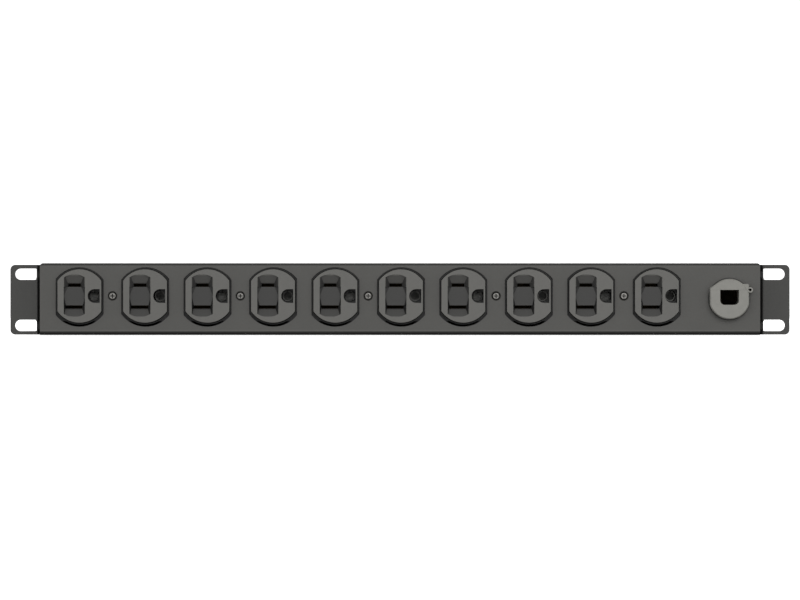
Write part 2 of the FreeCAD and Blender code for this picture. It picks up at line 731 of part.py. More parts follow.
# ---------------------------------------------------------------- wiring

def wire_z(terminal):
    """The height of the wire that a terminal's screw clamps, on the upper or lower side."""
    side = -1 if terminal[1] < 0 else 1
    return OUTLET_Z + terminal[1] + side * WIRE_OFFSET


def daisy_wire(terminal):
    """One conductor that passes under a screw of each receptacle and ends in its wire cap."""
    z = wire_z(terminal)
    stops = [centre + terminal[0] for centre in duplex_centres()]
    bare = bar((stops[0] - BARE_HALF, CAP_START + CAP_BORE_DEPTH - 1), WIRE_Y, z, CONDUCTOR_RADIUS)
    pieces = [bare]
    starts = stops
    ends = stops[1:] + [CAP_START + BARE_HALF + 1]
    for start, end in zip(starts, ends):
        covered = (start + BARE_HALF, end - BARE_HALF)
        pieces.append(bar(covered, WIRE_Y, z, INSULATION_RADIUS))
    return together(pieces)


def wire_cap(terminal):
    """A crimped cap, closed at its far end, where one conductor meets the mains cord's."""
    z = wire_z(terminal)
    skirt_end = CAP_START + 8.0
    skirt = bar((CAP_START, skirt_end), WIRE_Y, z, CAP_RADIUS)
    taper = Part.makeCone(
        CAP_RADIUS, CAP_TIP_RADIUS, CAP_LENGTH - 8.0, V(skirt_end, WIRE_Y, z), V(1, 0, 0)
    )
    cap = together([skirt, taper])
    tip = [e for e in cap.Edges if e.BoundBox.XMin > CAP_START + CAP_LENGTH - 0.01]
    cap = cap.makeFillet(1.2, tip)
    bore = bar((CAP_START - 1, CAP_START + CAP_BORE_DEPTH), WIRE_Y, z, CAP_BORE)
    return cap.cut(bore)


def bent_wire(points, radius):
    """A round wire through the points, with a ball at each bend."""
    pieces = []
    for start, end in zip(points, points[1:]):
        run = end - start
        pieces.append(Part.makeCylinder(radius, run.Length, start, run))
    for point in points[1:-1]:
        pieces.append(Part.makeSphere(radius, point))
    return together(pieces)


def chassis_ground_wire():
    """The bonding wire from the last ground screw down to the stud in the housing's floor."""
    stud_x, stud_y = GROUND_STUD
    z = OUTLET_Z + GROUND_TERMINAL[1] - WIRE_OFFSET
    lug_z = SHEET + 2.0
    screw_x = duplex_centres()[-1] + GROUND_TERMINAL[0]
    path = [
        V(screw_x + BARE_HALF, WIRE_Y, z),
        V(stud_x - 22, WIRE_Y, z),
        V(stud_x - 16, stud_y, z),
        V(stud_x - 16, stud_y, lug_z),
        V(stud_x - 11.5, stud_y, lug_z),
    ]
    covered = bent_wire(path, INSULATION_RADIUS)
    under_screw = bar((screw_x - BARE_HALF, screw_x + BARE_HALF), WIRE_Y, z, CONDUCTOR_RADIUS)
    in_lug = bar((stud_x - 12, stud_x - 7), stud_y, lug_z, CONDUCTOR_RADIUS)
    return together([covered, under_screw, in_lug])


def chassis_ground_lug():
    """The ring terminal on the bonding wire."""
    x, y = GROUND_STUD
    flat = (SHEET, SHEET + 0.8)
    ring = Part.makeCylinder(4.2, 0.8, V(x, y, SHEET), V(0, 0, 1))
    neck = box((x - 8, x - 2), (y - 2, y + 2), flat)
    crimp = bar((x - 11.4, x - 6), y, SHEET + 2.0, 2.0)
    lug = together([ring, neck, crimp])
    lug = lug.cut(bar((x - 12, x - 5), y, SHEET + 2.0, CONDUCTOR_RADIUS + 0.05))
    return lug.cut(Part.makeCylinder(STUD_RADIUS + 0.1, 3, V(x, y, SHEET - 1), V(0, 0, 1)))


def chassis_ground_stud():
    """The stud pressed into the housing's floor."""
    return Part.makeCylinder(STUD_RADIUS, STUD_TOP, V(*GROUND_STUD, 0), V(0, 0, 1))


def chassis_ground_nut():
    """The hexagon nut that holds the ring terminal down."""
    x, y = GROUND_STUD
    bottom = SHEET + 0.8
    corners = []
    for step in range(7):
        turn = FreeCAD.Rotation(V(0, 0, 1), 60 * step)
        corners.append(turn.multVec(V(4.04, 0, 0)) + V(x, y, bottom))
    nut = Part.Face(Part.makePolygon(corners)).extrude(V(0, 0, 3.2))
    hole = Part.makeCylinder(STUD_RADIUS + 0.02, 5, V(x, y, bottom - 1), V(0, 0, 1))
    return nut.cut(hole)


# ---------------------------------------------------------------- strain relief

def cord_opening():
    """The D-shaped way through the bushing, flat on top with round lower corners."""
    reach = (-BUSHING_HEAD - 1, BUSHING_TAIL + 1)
    opening = box(
        (BUSHING_X - CORD_HALF_WIDTH, BUSHING_X + CORD_HALF_WIDTH),
        reach,
        (BUSHING_Z + CORD_BOTTOM, BUSHING_Z + CORD_TOP),
    )
    lower = edges_along(opening, V(0, 1, 0), lambda m: m.z < BUSHING_Z)
    return opening.makeFillet(CORD_CORNER, lower)


def bushing_shoulder():
    """The corner that stands out of the round head at its upper left."""
    outline = [
        (-BUSHING_FLAT, 1.0),
        (-BUSHING_FLAT, SHOULDER_Z),
        SHOULDER_END,
        (-4.0, 5.0),
    ]
    corners = [V(BUSHING_X + x, -BUSHING_HEAD, BUSHING_Z + z) for x, z in outline]
    block = Part.Face(Part.makePolygon(corners + [corners[0]])).extrude(V(0, BUSHING_HEAD, 0))
    outer = []
    for edge in block.Edges:
        middle = edge.BoundBox.Center
        away = V(middle.x - BUSHING_X, 0, middle.z - BUSHING_Z).Length
        if edge.BoundBox.YMax < -BUSHING_HEAD + 0.01 and away > BUSHING_FLAT:
            outer.append(edge)
    return block.makeChamfer(0.6, outer)


def bushing_blank():
    """The whole bushing before it is split: head, snap barrel, corner tab and cord opening."""
    disc = post(BUSHING_X, BUSHING_Z, BUSHING_RADIUS, (-BUSHING_HEAD, 0))
    rim = [e for e in disc.Edges if e.BoundBox.YMax < -BUSHING_HEAD + 0.01]
    disc = disc.makeChamfer(0.6, rim)
    sides = box(
        (BUSHING_X - BUSHING_FLAT, BUSHING_X + BUSHING_FLAT), (-BUSHING_HEAD, 0), (0, HEIGHT)
    )
    front_edges = edges_along(sides, V(0, 0, 1), lambda m: m.y < -BUSHING_HEAD + 0.01)
    head = disc.common(sides.makeChamfer(0.6, front_edges))
    tab = box(
        (BUSHING_X + 7.0, BUSHING_X + 11.9),
        (-BUSHING_HEAD + 0.4, 0),
        (BUSHING_Z + BUSHING_SPLIT + 0.05, BUSHING_Z + 9.3),
    )
    tab = tab.makeFillet(0.8, edges_along(tab, V(0, 1, 0), lambda m: m.x > BUSHING_X + 11))
    head = together([head, bushing_shoulder(), tab])
    barrel = flatted_post(
        BUSHING_X, BUSHING_Z, BUSHING_BARREL_RADIUS, BUSHING_BARREL_FLAT, (-1, BUSHING_TAIL)
    )
    return together([head, barrel]).cut(cord_opening())


def snap_lug(side):
    """The sloped catch behind the panel on one side of the barrel."""
    root = BUSHING_X + side * (BUSHING_BARREL_FLAT - 0.5)
    tip = BUSHING_X + side * (BUSHING_BARREL_FLAT + 1.4)
    points = [
        V(root, SHEET + 0.1, BUSHING_Z - 3),
        V(tip, SHEET + 0.1, BUSHING_Z - 3),
        V(tip, SHEET + 1.4, BUSHING_Z - 3),
        V(root, SHEET + 6.0, BUSHING_Z - 3),
    ]
    return Part.Face(Part.makePolygon(points + [points[0]])).extrude(V(0, 0, 6))


def bushing_body():
    """The lower part of the bushing, which carries the catches and the hinge loop."""
    below = box(
        (BUSHING_X - 20, BUSHING_X + 20),
        (-BUSHING_HEAD - 1, BUSHING_TAIL + 1),
        (0, BUSHING_Z + BUSHING_SPLIT),
    )
    body = bushing_blank().common(below)
    loop_x = BUSHING_X + HINGE_X
    loop_z = BUSHING_Z + HINGE_Z
    loop = post(loop_x, loop_z, HINGE_RADIUS, (-BUSHING_HEAD + 0.6, -0.6))
    loop = loop.cut(post(loop_x, loop_z, HINGE_HOLE, (-BUSHING_HEAD, 0)))
    upper_room = box(
        (BUSHING_X, BUSHING_X + 12.1),
        (-BUSHING_HEAD - 1, 1),
        (BUSHING_Z + BUSHING_SPLIT, BUSHING_Z + 12),
    )
    return together([body, loop.cut(upper_room), snap_lug(-1), snap_lug(1)])


def bushing_clamp():
    """The upper part of the bushing, pressed down on the cord."""
    above = box(
        (BUSHING_X - 20, BUSHING_X + 20),
        (-BUSHING_HEAD - 1, BUSHING_TAIL + 1),
        (BUSHING_Z + BUSHING_SPLIT + 0.05, HEIGHT),
    )
    return bushing_blank().common(above)


# ---------------------------------------------------------------- outer screws

def cover_screws():
    """Cross-head screws through the rear cover into the housing's lips."""
    solids = []
    for x in COVER_SCREW_X:
        for z in COVER_SCREW_Z:
            head = post(x, z, SCREW_HEAD_RADIUS, (DEPTH, DEPTH + SCREW_HEAD))
            rim = [e for e in head.Edges if e.BoundBox.YMin > DEPTH + SCREW_HEAD - 0.01]
            head = head.makeFillet(0.9, rim)
            shank = post(x, z, SCREW_SHANK, (COVER_SCREW_TIP, DEPTH + 0.1))
            recess = cross_recess(x, z, (DEPTH + 0.6, DEPTH + 3), 1.6, 0.35)
            solids.append(together([head, shank]).cut(recess))
    return group(solids)


def ear_screws():
    """Cross-head screws through each ear's leg into the cover's end flange."""
    solids = []
    for side in (-1, 1):
        for z in EAR_SCREW_Z:
            outside = side * (BODY_HALF + EAR_SHEET)
            out = V(side, 0, 0)
            head = Part.makeCylinder(SCREW_HEAD_RADIUS, SCREW_HEAD, V(outside, EAR_SCREW_Y, z), out)
            rim = [e for e in head.Edges if abs(e.BoundBox.Center.x) > abs(outside) + 1.5]
            rim = [e for e in rim if e.BoundBox.XLength < 0.01]
            head = head.makeFillet(0.9, rim)
            inside = side * (BODY_HALF - 6)
            length = 6 + EAR_SHEET + 0.1
            shank = Part.makeCylinder(SCREW_SHANK, length, V(inside, EAR_SCREW_Y, z), out)
            span = sorted((outside + side * 0.6, outside + side * 3))
            middle = EAR_SCREW_Y
            upright = box(span, (middle - 0.35, middle + 0.35), (z - 1.6, z + 1.6))
            level = box(span, (middle - 1.6, middle + 1.6), (z - 0.35, z + 0.35))
            solids.append(together([head, shank]).cut(upright.fuse(level)))
    return group(solids)


# ---------------------------------------------------------------- write everything

os.makedirs("parts", exist_ok=True)

save("housing", housing())
save("rear_cover", rear_cover())
save("rear_liner", rear_liner())
save("left_rack_ear", left_ear())
save("right_rack_ear", right_ear())
save("cover_screws", cover_screws())
save("ear_screws", ear_screws())

for number, duplex_x in enumerate(duplex_centres(), 1):
    stem = "receptacle_%d_" % number
    save(stem + "face", receptacle_face(duplex_x))
    save(stem + "yoke", receptacle_yoke(duplex_x))
    save(stem + "base", receptacle_base(duplex_x))
    save(stem + "hot_contacts", blade_contacts(duplex_x, HOT_X, HOT_Z, HOT_TERMINAL))
    save(
        stem + "neutral_contacts",
        blade_contacts(duplex_x, NEUTRAL_X, NEUTRAL_Z, NEUTRAL_TERMINAL),
    )
    save(stem + "ground_contacts", ground_contacts(duplex_x))

save("receptacle_rivets", rivets())
save("receptacle_centre_screws", centre_screws())
save("hot_terminal_screws", terminal_screws(HOT_TERMINAL))
save("neutral_terminal_screws", terminal_screws(NEUTRAL_TERMINAL))
save("ground_terminal_screws", terminal_screws(GROUND_TERMINAL))

save("hot_wire", daisy_wire(HOT_TERMINAL))
save("neutral_wire", daisy_wire(NEUTRAL_TERMINAL))
save("ground_wire", daisy_wire(GROUND_TERMINAL))
save("hot_wire_cap", wire_cap(HOT_TERMINAL))
save("neutral_wire_cap", wire_cap(NEUTRAL_TERMINAL))
save("ground_wire_cap", wire_cap(GROUND_TERMINAL))

save("chassis_ground_wire", chassis_ground_wire())
save("chassis_ground_lug", chassis_ground_lug())
save("chassis_ground_stud", chassis_ground_stud())
save("chassis_ground_nut", chassis_ground_nut())

save("cord_bushing_body", bushing_body())
save("cord_bushing_clamp", bushing_clamp())
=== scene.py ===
import json
import math

import bpy
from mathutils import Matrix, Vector


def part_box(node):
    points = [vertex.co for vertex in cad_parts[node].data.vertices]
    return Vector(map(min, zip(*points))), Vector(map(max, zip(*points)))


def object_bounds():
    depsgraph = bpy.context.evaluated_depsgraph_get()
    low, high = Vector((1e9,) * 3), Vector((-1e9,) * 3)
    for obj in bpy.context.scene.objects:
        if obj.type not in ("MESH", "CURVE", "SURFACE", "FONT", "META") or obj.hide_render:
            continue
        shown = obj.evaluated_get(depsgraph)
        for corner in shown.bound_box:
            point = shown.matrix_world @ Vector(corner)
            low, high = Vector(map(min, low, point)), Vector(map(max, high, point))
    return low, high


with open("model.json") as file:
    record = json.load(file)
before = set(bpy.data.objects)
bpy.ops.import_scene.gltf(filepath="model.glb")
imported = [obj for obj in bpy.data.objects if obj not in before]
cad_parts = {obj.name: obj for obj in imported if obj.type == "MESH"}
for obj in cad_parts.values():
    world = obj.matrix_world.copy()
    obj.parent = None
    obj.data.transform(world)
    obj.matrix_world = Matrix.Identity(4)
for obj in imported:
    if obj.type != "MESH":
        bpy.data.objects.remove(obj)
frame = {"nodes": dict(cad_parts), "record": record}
cad_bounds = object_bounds()
nodes_by_name = frame["nodes"]

MM = 0.001
RECEPTACLES = range(1, 6)

# ------------------------------------------------------------------ stage, in metres

CAMERA_DISTANCE = 3.1  # from the front of the rack ears
CAMERA_REACH = 100.0
CAMERA_DROP = 0.0006  # the strip sits a little above the middle of the picture
VIEW_WIDTH = 0.4955  # width of the picture at the rack ears
SENSOR_MM = 36.0

SOFTBOX_SIZE = (1.8, 1.2)
FRONT_SOFTBOX_PLACE = (0.6, -2.4, 1.1)
FRONT_SOFTBOX_POWER = 22.0
REAR_SOFTBOX_PLACE = (0.8, 2.4, 1.6)
REAR_SOFTBOX_POWER = 45.0

FLOOR_REACH = 9.0
FLOOR_GAP = 0.0003  # between the floor and the strip
FLOOR_GREYS = ((0.80, 0.80, 0.80), (0.84, 0.84, 0.84))
FLOOR_GLOW = 0.62

# A ramp is two values, and then what a value at or beyond each of them turns into.
# These four turn one part of a direction into the strength of the light from there.
WORLD_UPWARDS = ((0.45, 0.9), (1.3, 0.45))
WORLD_DOWNWARDS = ((-0.65, -0.2), (0.03, 1.0))
WORLD_SIDES = ((0.2, 0.75), (0.6, 1.0))
WORLD_BEHIND_CAMERA = ((-0.99, -0.95), (0.25, 1.0))

# ------------------------------------------------------------------ colours

HOUSING_COLOUR = (0.0728, 0.0716, 0.0668)
# The ears wear the housing's coat, made darker here as painted shade from the housing beside
# them.
EAR_COLOUR_IN_PAINTED_SHADE = (0.0435, 0.0430, 0.0404)
FACE_COLOUR = (0.0978, 0.0960, 0.0885)
WELL_COLOUR = (0.0278, 0.0273, 0.0258)
BUSHING_COLOUR = (0.205, 0.202, 0.184)
BLACK_PLASTIC = (0.012, 0.012, 0.012)
WHITE_PLASTIC = (0.62, 0.62, 0.58)
GREEN_PLASTIC = (0.02, 0.14, 0.035)
CAP_COLOUR = (0.55, 0.48, 0.33)
LINER_COLOUR = (0.16, 0.12, 0.08)
BRASS_COLOUR = (0.34, 0.24, 0.11)
CONTACT_STEEL = (0.24, 0.24, 0.23)
ZINC_COLOUR = (0.60, 0.60, 0.58)
NICKEL_COLOUR = (0.27, 0.265, 0.25)
CENTRE_SCREW_COLOUR = (0.24, 0.235, 0.222)
GREEN_DYE = (0.06, 0.30, 0.10)
TIN_COLOUR = (0.68, 0.67, 0.64)

# ------------------------------------------------------------------ surfaces, in millimetres

NOISE_RANGE = (0.3, 0.7)  # most of a noise texture's values lie in it

# A noise is its features per millimetre, its detail and, if it isn't 0.5, its roughness.
# A relief is its depth and its strength.
COAT_MOTTLE = (0.97, 1.03)
COAT_MOTTLE_NOISE = (0.05, 3.0)
COAT_SPECKS = ((0.68, 0.78), (0.0, 0.35))
COAT_SPECK_SHADE = 1.5
COAT_SPECK_NOISE = (3.0, 1.0)
COAT_PEEL_NOISE = (1.1, 3.0, 0.55)
COAT_PEEL_RELIEF = (0.02, 0.6)
COAT_ROUGHNESS = (0.5, 0.62)
COAT_SPECULAR = 0.35

FACE_MOTTLE = (0.97, 1.03)
FACE_MOTTLE_NOISE = (0.25, 3.0)
FACE_GRAIN_NOISE = (3.5, 2.0, 0.6)
FACE_GRAIN_RELIEF = (0.012, 0.5)
FACE_ROUGHNESS = (0.42, 0.6)  # on the raised face and down in the well

MOULDING_MOTTLE = (0.95, 1.04)
MOULDING_MOTTLE_NOISE = (0.3, 3.0)
MOULDING_GRAIN_NOISE = (3.0, 2.0, 0.6)
MOULDING_GRAIN_RELIEF = (0.012, 0.5)
LINER_GRAIN_RELIEF = (0.03, 0.5)
MOULDING_ROUGHNESS_CHANGE = (-0.05, 0.05)

METAL_CLOUDS = (0.88, 1.0)
METAL_CLOUD_NOISE = (0.4, 2.0)
METAL_SCRATCH_NOISE = (2.5, 4.0, 0.65)
METAL_SCRATCH_RELIEF = (0.004, 0.4)
METAL_ROUGHNESS_CHANGE = (-0.08, 0.1)
UNSTRETCHED = (1.0, 1.0, 1.0)
DRAWN_ALONG_X = (0.15, 1.0, 1.0)

FLOOR_NOISE = (0.004, 2.0)

FACE_EDGE = 0.22
BUSHING_EDGE = 0.3
EAR_EDGE = 0.15
SHARP_EDGE_DEGREES = 40

# ------------------------------------------------------------------ painted shade and light, in millimetres

# On the housing, by height: painted shade on the lower and upper bends, and a painted highlight
# line where the lower bend meets the flat panel.
FLAT_PANEL_BOTTOM = (2.6, 3.0)
FLAT_PANEL_TOP = (41.4, 41.8)
LOWER_BEND = ((1.78, 2.72), (0.22, 1.2))
ABOVE_LOWER_BEND = ((2.9, 3.2), (1.0, 0.82))
UPPER_BEND = ((42.3, 43.9), (1.0, 0.24))

# On the housing, by depth behind the panel: painted shade in the dimples and holes, and how far
# back the painted shade of the bends and bushing reaches.
HOLE_DEPTHS = (0.1, 0.5)
HOLE_SHADE = 0.3
BEND_DEPTHS = (2.0, 3.0)

# On the housing, by distance from the middle of the bushing's head and of its hinge loop:
# painted shadow around them.
BY_BUSHING_HEAD = ((12.9, 13.4), (0.35, 1.0))
BY_HINGE_LOOP = ((1.0, 2.2), (0.08, 1.0))

# Where those middles are, across and up: from the bushing body's low corner, and from the head.
HEAD_FROM_CORNER = (12.05, 12.45)
LOOP_FROM_HEAD = (12.8, 5.65)

# On the ears, by distance outward from the end of their bend: painted shade in the bend, and
# fainter painted shade on the flange near the housing.
EAR_BEND = 2.0
EAR_BEND_SHADES = ((-0.3, 0.0), (0.1, 1.0))
EAR_FLANGE_SHADES = ((0.0, 14.0), (0.86, 1.0))

# On the outlet faces, by depth behind their front: where the well begins, and painted shade in
# the contact pockets and slots.
WELL_DEPTHS = (0.15, 0.7)
RIM_OF_WELL = (0.0, 0.2)  # as a share of those depths
POCKET_DEPTHS = (1.5, 3.1)
POCKET_SHADE = 0.12
SLOT_SHADES = ((3.25, 3.6), (1.0, 0.12))
SKIRT_DEPTHS = (2.9, 3.1)

# On the skirts around the outlet faces, by height: painted shade on all but their lower part.
SKIRT_SHADES = ((12.0, 15.0), (1.0, 0.3))

# On the outlet faces, by how much the surface faces the front, or tilts up: painted shade on the
# walls, and painted light on the slopes.
WALL_SHADES = ((0.45, 0.8), (0.15, 1.0))
LEVEL_SURFACE = (0.93, 0.98)
UPPER_SLOPE = ((-0.38, -0.15), (2.4, 1.0))
LOWER_SLOPE = ((0.15, 0.38), (1.0, 1.3))

# On the metal in the outlets, by depth behind the panel: painted shade down in the contacts, in
# the ground tubes and in the centre screws' recesses.
CONTACT_SHADES = ((6.0, 6.9), (1.0, 0.15))
BEHIND_BASE = (20.3, 21.0)
TONGUE_END = (9.6, 10.0)
GROUND_TUBE_SHADE = 0.6
SCREW_RECESS = ((-0.15, 0.1), (1.0, 0.05))

# On the ground contacts' tongues, by height above the middle of the outlet: painted light
# towards the top, and a little painted shade at the bottom.
TONGUE_SHADES = ((-2.5, 1.0), (0.7, 2.8))

# ------------------------------------------------------------------ measured on the CAD nodes

housing_low, housing_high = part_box("housing")
face_low, face_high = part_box("receptacle_1_face")
bushing_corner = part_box("cord_bushing_body")[0]

panel_mm = housing_low.y / MM
ear_bend_mm = housing_high.x / MM + EAR_BEND
face_front_mm = face_low.y / MM
outlet_middle_mm = (face_low.z + face_high.z) / 2 / MM
bushing_head = (
    bushing_corner.x / MM + HEAD_FROM_CORNER[0],
    bushing_corner.z / MM + HEAD_FROM_CORNER[1],
)
hinge_loop = (bushing_head[0] + LOOP_FROM_HEAD[0], bushing_head[1] + LOOP_FROM_HEAD[1])


# ------------------------------------------------------------------ node helpers

def start_material(name):
    """An empty node material with a Principled shader: (material, tree, shader)."""
    material = bpy.data.materials.new(name)
    material.use_nodes = True
    tree = material.node_tree
    tree.nodes.clear()
    shader = tree.nodes.new("ShaderNodeBsdfPrincipled")
    output = tree.nodes.new("ShaderNodeOutputMaterial")
    tree.links.new(shader.outputs["BSDF"], output.inputs["Surface"])
    return material, tree, shader


def millimetres(tree):
    """The point being shaded, in millimetres in the row frame."""
    place = tree.nodes.new("ShaderNodeTexCoord")
    scale = tree.nodes.new("ShaderNodeVectorMath")
    scale.operation = "SCALE"
    scale.inputs["Scale"].default_value = 1.0 / MM
    tree.links.new(place.outputs["Object"], scale.inputs[0])
    return scale.outputs["Vector"]


def noise(tree, point, per_mm, detail, roughness=0.5):
    """Noise with about per_mm features in each millimetre."""
    texture = tree.nodes.new("ShaderNodeTexNoise")
    texture.inputs["Scale"].default_value = per_mm
    texture.inputs["Detail"].default_value = detail
    texture.inputs["Roughness"].default_value = roughness
    tree.links.new(point, texture.inputs["Vector"])
    return texture.outputs["Fac"]


def spread(tree, value, source, target):
    """Maps a value from one range to another, clamped."""
    node = tree.nodes.new("ShaderNodeMapRange")
    node.inputs["From Min"].default_value = source[0]
    node.inputs["From Max"].default_value = source[1]
    node.inputs["To Min"].default_value = target[0]
    node.inputs["To Max"].default_value = target[1]
    tree.links.new(value, node.inputs["Value"])
    return node.outputs["Result"]


def rise(tree, value, ends):
    """0 up to the first end and 1 from the second."""
    return spread(tree, value, ends, (0.0, 1.0))


def fall(tree, value, ends):
    """1 up to the first end and 0 from the second."""
    return spread(tree, value, ends, (1.0, 0.0))


def shade_where(tree, mask, amount):
    """1 where the mask is 0, and amount where the mask is 1."""
    return spread(tree, mask, (0.0, 1.0), (1.0, amount))


def shifted(start, ends):
    """Two values, each moved by the same start."""
    return (start + ends[0], start + ends[1])


def patches(tree, point, per_mm, detail):
    """Soft patches of noise, from 0 to 1."""
    return rise(tree, noise(tree, point, per_mm, detail), NOISE_RANGE)


def blend_colours(tree, factor, first, second):
    """A colour between two, each a triple or another node's output."""
    node = tree.nodes.new("ShaderNodeMix")
    node.data_type = "RGBA"
    tree.links.new(factor, node.inputs["Factor"])
    for socket, colour in ((node.inputs[6], first), (node.inputs[7], second)):
        if isinstance(colour, tuple):
            socket.default_value = (*colour, 1.0)
        else:
            tree.links.new(colour, socket)
    return node.outputs[2]


def shade(colour, factor):
    """The same colour, lighter or darker."""
    return tuple(channel * factor for channel in colour)


def mottled(tree, mask, colour, shades):
    """A colour that goes from one of its shades to the other with the mask."""
    return blend_colours(tree, mask, shade(colour, shades[0]), shade(colour, shades[1]))


def bump(tree, shader, height, depth_mm, strength):
    """Relief on the shader's normal, depth_mm deep where height goes from 0 to 1."""
    node = tree.nodes.new("ShaderNodeBump")
    node.inputs["Strength"].default_value = strength
    node.inputs["Distance"].default_value = depth_mm * MM
    tree.links.new(height, node.inputs["Height"])
    tree.links.new(node.outputs["Normal"], shader.inputs["Normal"])


def axis_value(tree, point, axis):
    """One coordinate of a point or direction."""
    split = tree.nodes.new("ShaderNodeSeparateXYZ")
    tree.links.new(point, split.inputs["Vector"])
    return split.outputs[axis]


def size_of(tree, value):
    """A value without its sign."""
    node = tree.nodes.new("ShaderNodeMath")
    node.operation = "ABSOLUTE"
    tree.links.new(value, node.inputs[0])
    return node.outputs["Value"]


def combine(tree, operation, first, second):
    """Two values put together by a math node."""
    node = tree.nodes.new("ShaderNodeMath")
    node.operation = operation
    tree.links.new(first, node.inputs[0])
    tree.links.new(second, node.inputs[1])
    return node.outputs["Value"]


def product(tree, first, second):
    """Two values multiplied."""
    return combine(tree, "MULTIPLY", first, second)


def larger(tree, first, second):
    """The larger of two values."""
    return combine(tree, "MAXIMUM", first, second)


def dim(tree, colour, amount):
    """A colour times a value."""
    node = tree.nodes.new("ShaderNodeVectorMath")
    node.operation = "SCALE"
    tree.links.new(colour, node.inputs[0])
    tree.links.new(amount, node.inputs["Scale"])
    return node.outputs["Vector"]


def facing_front(tree):
    """1 where the surface faces the front or rear, 0 where it faces up, down or sideways."""
    place = tree.nodes.new("ShaderNodeTexCoord")
    return size_of(tree, axis_value(tree, place.outputs["Normal"], "Y"))


def facing_up(tree):
    """How much the surface tilts up, from -1 where it faces down to 1."""
    place = tree.nodes.new("ShaderNodeTexCoord")
    return axis_value(tree, place.outputs["Normal"], "Z")


def distance_from(tree, point, x, z):
    """How far a point is from a line along Y, in millimetres."""
    across = tree.nodes.new("ShaderNodeVectorMath")
    across.operation = "MULTIPLY"
    across.inputs[1].default_value = (1.0, 0.0, 1.0)
    tree.links.new(point, across.inputs[0])
    away = tree.nodes.new("ShaderNodeVectorMath")
    away.operation = "DISTANCE"
    away.inputs[1].default_value = (x, 0.0, z)
    tree.links.new(across.outputs["Vector"], away.inputs[0])
    return away.outputs["Value"]


def set_surface(tree, shader, colour, roughness):
    """Gives a shader its colour and its roughness."""
    tree.links.new(colour, shader.inputs["Base Color"])
    tree.links.new(roughness, shader.inputs["Roughness"])


# ------------------------------------------------------------------ materials

def powder_coat(name, colour, coat_painted_shade):
    """Satin powder coat: fine orange peel, a slight mottle and tiny lighter specks, darkened by
    the painted shade it is given.
    """
    material, tree, shader = start_material(name)
    point = millimetres(tree)
    base = mottled(tree, patches(tree, point, *COAT_MOTTLE_NOISE), colour, COAT_MOTTLE)
    specks = spread(tree, noise(tree, point, *COAT_SPECK_NOISE), *COAT_SPECKS)
    coat = blend_colours(tree, specks, base, shade(colour, COAT_SPECK_SHADE))
    shaded_coat = dim(tree, coat, coat_painted_shade(tree, point))
    peel = noise(tree, point, *COAT_PEEL_NOISE)
    bump(tree, shader, peel, *COAT_PEEL_RELIEF)
    set_surface(tree, shader, shaded_coat, spread(tree, peel, NOISE_RANGE, COAT_ROUGHNESS))
    shader.inputs["Specular IOR Level"].default_value = COAT_SPECULAR
    return material


def housing_painted_shade(tree, point):
    """Painted shade in the panel's dimples and holes, on its front bends and around the
    bushing's head and hinge loop, with a painted highlight line where the lower bend meets the
    flat panel.
    """
    depth = axis_value(tree, point, "Y")
    height = axis_value(tree, point, "Z")
    sunk = rise(tree, depth, shifted(panel_mm, HOLE_DEPTHS))
    above_lower_bend = rise(tree, height, FLAT_PANEL_BOTTOM)
    below_upper_bend = fall(tree, height, FLAT_PANEL_TOP)
    clear_of_bends = product(tree, above_lower_bend, below_upper_bend)
    holes = shade_where(tree, product(tree, sunk, clear_of_bends), HOLE_SHADE)
    bottom = spread(tree, height, *LOWER_BEND)
    just_above = spread(tree, height, *ABOVE_LOWER_BEND)
    top = spread(tree, height, *UPPER_BEND)
    bends = product(tree, product(tree, bottom, just_above), top)
    by_head = spread(tree, distance_from(tree, point, *bushing_head), *BY_BUSHING_HEAD)
    by_loop = spread(tree, distance_from(tree, point, *hinge_loop), *BY_HINGE_LOOP)
    front = product(tree, bends, product(tree, by_head, by_loop))
    behind_bends = rise(tree, depth, shifted(panel_mm, BEND_DEPTHS))
    return product(tree, holes, larger(tree, front, behind_bends))


def ear_painted_shade(tree, point):
    """Painted shade in the ear's bend, and fainter painted shade on the flange beside it."""
    across = size_of(tree, axis_value(tree, point, "X"))
    bend_ends, bend_shades = EAR_BEND_SHADES
    flange_ends, flange_shades = EAR_FLANGE_SHADES
    bend = spread(tree, across, shifted(ear_bend_mm, bend_ends), bend_shades)
    flange = spread(tree, across, shifted(ear_bend_mm, flange_ends), flange_shades)
    return product(tree, bend, flange)


def face_painted_shading(tree, point):
    """Painted shade and light on an outlet face's walls, slopes, contact pockets, slots and
    skirt.
    """
    depth = axis_value(tree, point, "Y")
    height = axis_value(tree, point, "Z")
    tilt = facing_up(tree)
    wall = spread(tree, facing_front(tree), *WALL_SHADES)
    slopes = product(tree, spread(tree, tilt, *UPPER_SLOPE), spread(tree, tilt, *LOWER_SLOPE))
    level = rise(tree, facing_front(tree), LEVEL_SURFACE)
    sunk = rise(tree, depth, shifted(face_front_mm, POCKET_DEPTHS))
    pockets = shade_where(tree, product(tree, level, sunk), POCKET_SHADE)
    slot_ends, slot_shades = SLOT_SHADES
    slots = spread(tree, depth, shifted(face_front_mm, slot_ends), slot_shades)
    in_front_of_skirt = fall(tree, depth, shifted(face_front_mm, SKIRT_DEPTHS))
    skirt = larger(tree, spread(tree, height, *SKIRT_SHADES), in_front_of_skirt)
    floors = product(tree, product(tree, wall, slopes), pockets)
    return product(tree, floors, product(tree, slots, skirt))


